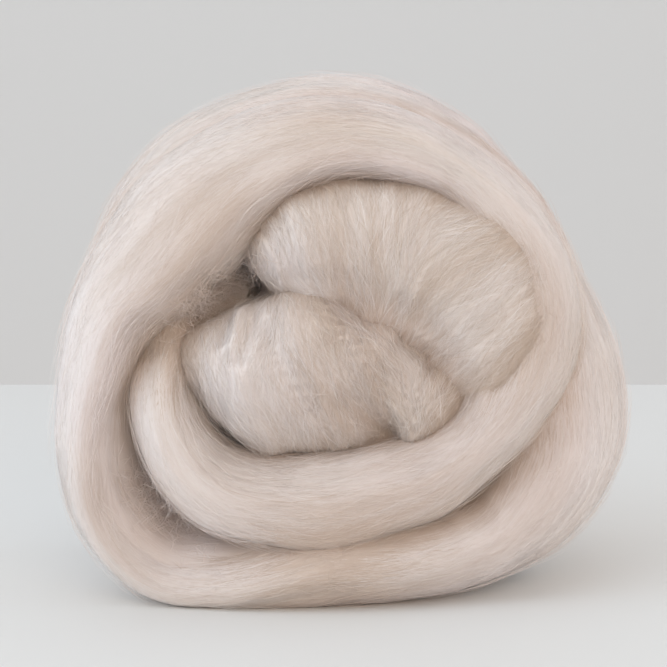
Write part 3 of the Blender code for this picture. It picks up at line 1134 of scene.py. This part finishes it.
def fibre_piece(name, groups, casts_shadow):
    """One mesh object of all the ribbons in these groups."""
    faces, start = [], 0
    for group in groups:
        quads = np.array(ribbon_faces(group.count, group.steps)) + start
        faces += quads.tolist()
        start += len(group.points)
    points, tone, warmth = (
        np.concatenate([getattr(group, word) for group in groups])
        for word in ("points", "tone", "warmth")
    )
    out = None if groups[0].out is None else np.concatenate([group.out for group in groups])
    piece = make_piece(name, points, faces, hairs, tone, warmth, out)
    piece.visible_shadow = casts_shadow
    print(name, "has", 2 * len(faces), "triangles")
    return piece


def hair_piece(name, bodies, seeds, counts, wanted, style, casts_shadow):
    """One mesh object of hairs combed over these bodies, with a seed and a count for each."""
    each = zip(bodies, seeds, counts, wanted)
    fibre_piece(name, [combed(*one, style) for one in each], casts_shadow)


print("a ribbon of 6 steps has", len(ribbon_faces(1, 6)), "faces")

# %% The hairs that lie on the rope
#   length, width   of a ribbon, in mm
#   lean, twist     how far it strays from the combing, and rolls about itself, in degrees
#   height, lift    how high its middle lies, and how high one of its ends stands up, in mm
#   lifted          the share of them with such an end
#   sway            how far it waves to the sides, in mm
#   gloss           degrees by which its shading tilts, so that it catches the light
#   paler           by how much its tone is above the rope's, and tone_spread how far it varies
ON_STRAND = dict(
    steps=6, length=(20, 42), lean=5.0, height=(0.02, 0.10), lifted=0.0, lift=(0, 0),
    width=(0.08, 0.20), twist=1, sway=0.35, gloss=1.5, paler=0.05, tone_spread=0.02,
)
angle = strand.row["angle"][:, None] + 0 * strand.run
front_turn = (angle < FRONT_TURN_END).astype(float)
outer_turn = ((angle >= FRONT_TURN_END) & (angle < OUTER_TURN_END)).astype(float)
back_turn = (angle >= OUTER_TURN_END).astype(float)

RUFFLED_STRAND = dict(ON_STRAND, lean=8.0, tone_spread=0.10)
combed_share = 1 - strand.ruffled
for name, seed, count, wanted, style in (
    ("combed_hairs_front_turn", 101, 7000, front_turn * combed_share, ON_STRAND),
    ("combed_hairs_outer_turn", 102, 7000, outer_turn * combed_share, ON_STRAND),
    ("combed_hairs_back_turn", 103, 2500, back_turn, ON_STRAND),
    ("ruffled_hairs_front_turn", 104, 6000, front_turn * strand.ruffled, RUFFLED_STRAND),
    ("ruffled_hairs_outer_turn", 105, 5000, outer_turn * strand.ruffled, RUFFLED_STRAND),
    ("ruffled_hairs_back_turn", 106, 2000, back_turn, RUFFLED_STRAND),
):
    ruffled = style is RUFFLED_STRAND
    hair_piece(name, [strand], [seed], [count], [wanted], style, casts_shadow=ruffled)

# %% The hairs of the core
ON_FOLDS = dict(
    steps=6, length=(11, 24), lean=11.0, height=(0.03, 0.25), lifted=0.05, lift=(0.2, 0.9),
    width=(0.06, 0.15), twist=8, sway=0.6, gloss=10.0, paler=0.0, tone_spread=0.2,
)
everywhere = [np.ones(body.run.shape) for body in folds]
for name, seeds, counts, casts_shadow in (
    ("combed_hairs_core", (111, 112, 113, 114), (1500, 1300, 500, 100), False),
    ("ruffled_hairs_core", (121, 122, 123, 124), (3250, 3000, 1300, 500), True),
):
    hair_piece(name, folds, seeds, counts, everywhere, ON_FOLDS, casts_shadow)

# %% The hairs on the back of the inner windings
measure(core)
round_the_axis = unit(np.cross([0.0, 1.0, 0.0], core.points - core.points.mean(axis=(0, 1))))
way = np.arctan2(
    (round_the_axis * unit(core.wide)).sum(-1), (round_the_axis * unit(core.long)).sum(-1)
)
core.comb_cos, core.comb_sin = np.cos(2 * way), np.sin(2 * way)
core.shows = depth_in(tree_of(strand.points), core.points) < COVERED
behind = (core.points[..., 1] > 0).astype(float)
for name, seed, count, casts_shadow in (
    ("combed_hairs_inside", 127, 2000, False),
    ("ruffled_hairs_inside", 128, 2500, True),
):
    hair_piece(name, [core], [seed], [count], [behind], ON_STRAND, casts_shadow)

# %% [markdown]
# ## The haze of loose hairs
#
# Not every hair lies down. A haze of loose ones stands off the surface by a millimetre or two,
# curls and crosses the others. It blurs the outline and bridges the creases. These ribbons are the
# finest. They cast no shadow, and roll about themselves at random, so that some face every way.

# %% Loose hairs
# The loose hairs are paler than the rope: painted light, for the light that passes through thin
# backlit hairs.
HAZE_STRAND = dict(
    steps=6, length=(10, 28), lean=14.0, height=(0.1, 1.0), lifted=0.6, lift=(0.4, 2.4),
    width=(0.035, 0.07), twist=60, sway=0.8, paler=0.12, tone_spread=0.06,
)
HAZE_FOLDS = dict(HAZE_STRAND, length=(7, 18), lean=20.0, sway=0.7, paler=0.25, tone_spread=0.15)
for name, bodies, seeds, counts, wanted, style in (
    ("haze_front_turn", [strand], (146,), (6500,), [front_turn], HAZE_STRAND),
    ("haze_outer_turns", [strand], (147,), (6000,), [1 - front_turn], HAZE_STRAND),
    ("haze_core", folds, (140, 147, 154, 161), (1800, 1600, 750, 350), everywhere, HAZE_FOLDS),
):
    hair_piece(name, bodies, seeds, counts, wanted, style, casts_shadow=False)

# %% Hairs across the creases
# These hairs are darker than the rope under them, painted shade along the creases.
ACROSS = dict(
    steps=4, length=(4, 11), lean=45.0, height=(0.1, 0.9), lifted=0.3, lift=(0.3, 1.2),
    width=(0.04, 0.08), twist=40, sway=0.5, paler=-0.25, tone_spread=0.15,
)
CREASE_CROWDING = 3  # exponent: the higher, the closer these hairs keep to the crease
for name, bodies, seeds, counts in (
    ("crease_hairs_turns", [strand], (171,), (5000,)),
    ("crease_hairs_core", folds[:3], (171, 172, 173), (1300, 1200, 700)),
):
    in_creases = [body.crease**CREASE_CROWDING for body in bodies]
    hair_piece(name, bodies, seeds, counts, in_creases, ACROSS, casts_shadow=True)

# %% [markdown]
# ## Nests in the hollows
#
# Deep in the two hollows, beside the core at the upper left and under the front turn at the lower
# left, loose ends gather and curl into small nests. Each of their hairs is a short wavy arc that
# lies any way round, and they cast shadows on each other. Their tone also runs darker and warmer
# than the wool round them, painted shade of the hollows, so the nests look brown and dense. A
# ray from the front finds how deep the hollow is at each hair.

# %% Curled hairs
#   x, height     the middle of the nest, in mm
#   long, wide    its half sizes, in mm
#   tilt          degrees by which its long way is turned, anticlockwise from the right
#   hairs         how many there are
NEST_COLUMNS = ("x", "height", "long", "wide", "tilt", "hairs")
NESTS = {
    "upper_nest": (-30.0, 75.0, 11.0, 4.5, 35.0, 1000),
    "lower_nest": (-42.5, 23.0, 11.0, 4.0, -48.0, 1000),
}
#   spread         how far the hairs scatter, as a share of the nest's half sizes
#   above          how far a hair lies in front of the skin, in mm
#   length, width  of the ribbon, and bend how far it curls to each side, in mm
#   turns          of the curl, and start where it begins, in radians
#   flatness       how far the ribbons spread to the right, to the back and up
#   depth          of the curl, as a share of its bend
#   twist          how far a ribbon rolls about itself, in radians
# tone, warmth  of the hairs, darker and warmer than the wool round them: painted shade
CURL = SimpleNamespace(
    steps=8, spread=0.5, above=(0.3, 1.8), length=(3, 9), width=(0.05, 0.1), bend=(0.3, 1.3),
    turns=(0.5, 1.2), start=(0, 6.3), flatness=(1, 0.2, 1), depth=0.5, twist=0.6,
    tone=(0.1, 0.9), warmth=0.6,
)
FAR_FRONT = -200.0  # millimetres, a depth well in front of the ball
skins = [tree_of(body.points) for body in (*ropes.values(), core)]


def front_depth(x, height):
    """The depth of the first skin that a ray from the front meets at this place."""
    ray = Vector((x, FAR_FRONT, height)), Vector((0, 1, 0))
    hits = [skin.ray_cast(*ray)[0] for skin in skins]
    return min(hit.y for hit in hits if hit is not None)


def curls(row, seed):
    """Ribbons that curl at random about the middle of a nest."""
    rng = np.random.default_rng(seed)
    nest = SimpleNamespace(**dict(zip(NEST_COLUMNS, row)))
    count = nest.hairs
    along, across = rng.normal(0, CURL.spread, (2, count)) * [[nest.long], [nest.wide]]
    tilt = np.radians(nest.tilt)
    x = nest.x - BALL_MIDDLE[0] + along * np.cos(tilt) - across * np.sin(tilt)
    height = nest.height + along * np.sin(tilt) + across * np.cos(tilt)
    depth = np.array([front_depth(*place) for place in zip(x, height)])
    middle = np.stack([x, depth - rng.uniform(*CURL.above, count), height], -1)
    way, side = (unit(rng.normal(size=(count, 3)) * CURL.flatness) for _ in range(2))
    t = np.linspace(0, 1, CURL.steps + 1)
    length = rng.uniform(*CURL.length, count)[:, None]
    turns = rng.uniform(*CURL.turns, count)[:, None]
    phase = turns * 2 * np.pi * t + rng.uniform(*CURL.start, count)[:, None]
    bend = rng.uniform(*CURL.bend, count)[:, None]
    path = middle[:, None] + way[:, None] * (length * (t - 0.5))[..., None]
    path = path + side[:, None] * (bend * np.sin(phase))[..., None]
    path[..., 1] += CURL.depth * bend * np.cos(phase)
    out = np.broadcast_to([0.0, -1.0, 0.0], path.shape)
    width = rng.uniform(*CURL.width, count)[:, None] * tapered(t)
    twist = rng.normal(0, CURL.twist, count)[:, None] + 0 * t
    points = ribbon_points(path, out, width, twist)
    tone = np.broadcast_to(rng.uniform(*CURL.tone, count)[:, None, None], points.shape[:3])
    return SimpleNamespace(
        points=points.reshape(-1, 3), out=None, tone=tone.reshape(-1),
        warmth=np.full(tone.size, CURL.warmth), count=count, steps=CURL.steps,
    )


nests = [curls(row, 151 + k) for k, row in enumerate(NESTS.values())]
fibre_piece("curled_hairs", nests, casts_shadow=True)

# %% [markdown]
# ## Sizes
#
# The last cell prints how large the ball is as a solid and as it looks, and ends the script.

# %% Sizes and the end
boxes = {"cad": CAD_BOX, "visual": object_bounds()}
sizes = {word: [[float(value) for value in corner] for corner in box] for word, box in boxes.items()}
for word, box in sizes.items():
    print(word, "size in mm:", [round(1000 * (b - a), 1) for a, b in zip(*box)])
